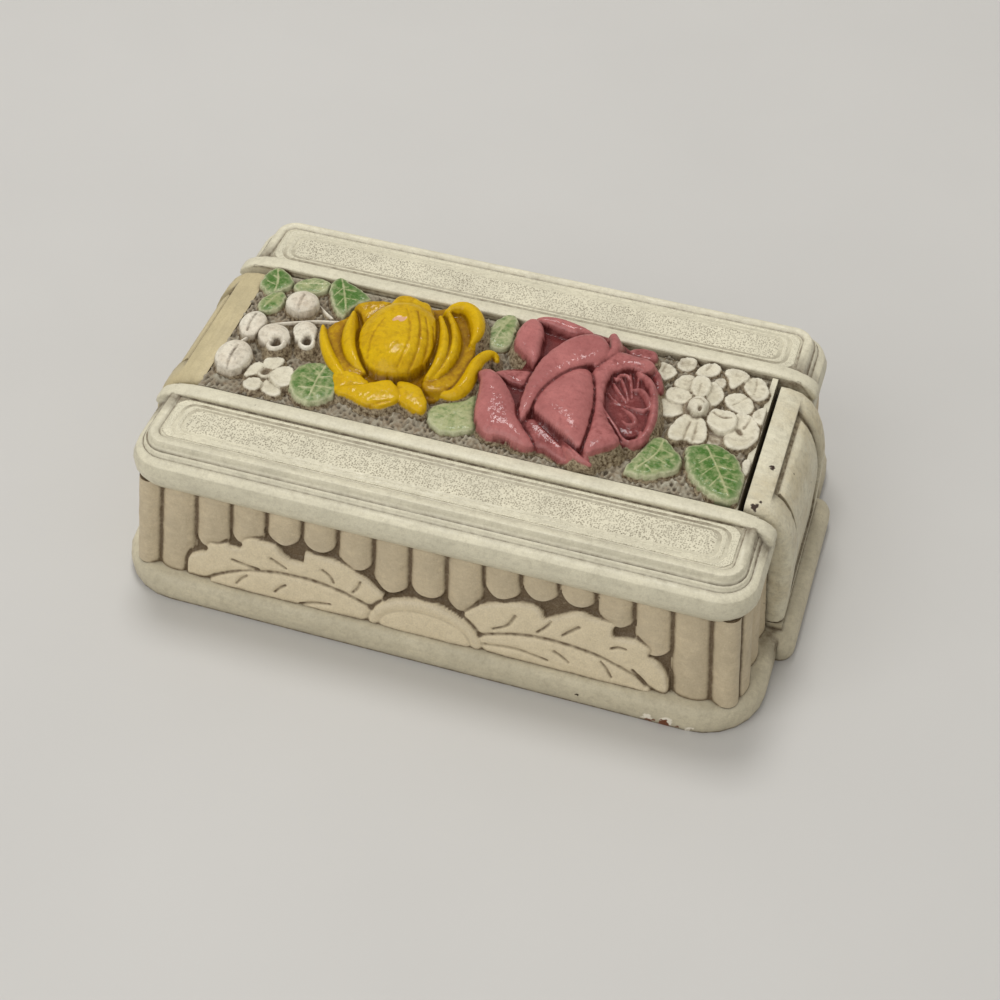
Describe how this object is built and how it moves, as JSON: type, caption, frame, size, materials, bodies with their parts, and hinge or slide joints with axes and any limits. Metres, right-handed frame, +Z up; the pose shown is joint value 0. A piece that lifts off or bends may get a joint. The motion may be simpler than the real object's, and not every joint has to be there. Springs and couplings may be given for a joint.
{
  "type": "carved trinket box",
  "caption": "Low carved and painted box with fluted sides, moulded top rails, a flower-carved lid that slides out endways and an end block that lifts.",
  "frame": {"origin": "middle of the underside, at table level", "axes": "+X along the box towards the lifting end block, +Y towards the back, +Z up"},
  "size_m": [0.1672, 0.106, 0.0528],
  "materials": {
    "cream_paint": "aged satin paint, brown in the recesses",
    "tan_paint": "aged matte paint, brown in the grooves",
    "lid_ground_paint": "stippled matte paint, rubbed back",
    "ochre_paint": "aged satin paint",
    "yellow_paint": "glossy paint, ochre in the recesses",
    "rose_paint": "glossy paint, dark red in the recesses",
    "leaf_paint": "satin paint with pale rims",
    "berry_paint": "satin paint",
    "blossom_paint": "satin paint, brown in the recesses"
  },
  "bodies": {
    "case": {"base_board": "cream_paint", "front_wall": "tan_paint", "back_wall": "tan_paint", "left_end_wall": "tan_paint", "right_end_wall": "tan_paint", "front_rail": "cream_paint", "back_rail": "cream_paint"},
    "lid": {"lid_board": "lid_ground_paint", "lid_end_block": "ochre_paint", "rose": "rose_paint", "yellow_bloom": "yellow_paint", "leaf_left_corner": "leaf_paint", "leaf_left_low": "leaf_paint", "leaf_left_back": "leaf_paint", "leaf_beside_bloom": "leaf_paint", "leaf_between_back": "leaf_paint", "leaf_round": "leaf_paint", "leaf_between_front": "leaf_paint", "leaf_right_front": "leaf_paint", "leaf_right_corner": "leaf_paint", "berry_back": "berry_paint", "berry_left": "berry_paint", "berry_middle": "berry_paint", "berry_right": "berry_paint", "berry_front": "berry_paint", "berry_stem": "berry_paint", "blossom_large": "blossom_paint", "blossom_upper": "blossom_paint", "blossom_side": "blossom_paint", "blossom_back": "blossom_paint", "blossom_by_rose": "blossom_paint", "blossom_left": "blossom_paint"},
    "key": {"key_block": "cream_paint", "key_tongue": "tan_paint"}
  },
  "joints": [
    {"name": "lid_slide", "type": "slide", "parent": "case", "child": "lid", "axis": [-1, 0, 0], "range_m": [0, 0.13]},
    {"name": "key_slide", "type": "slide", "parent": "case", "child": "key", "axis": [0, 0, 1], "range_m": [0, 0.022]}
  ]
}
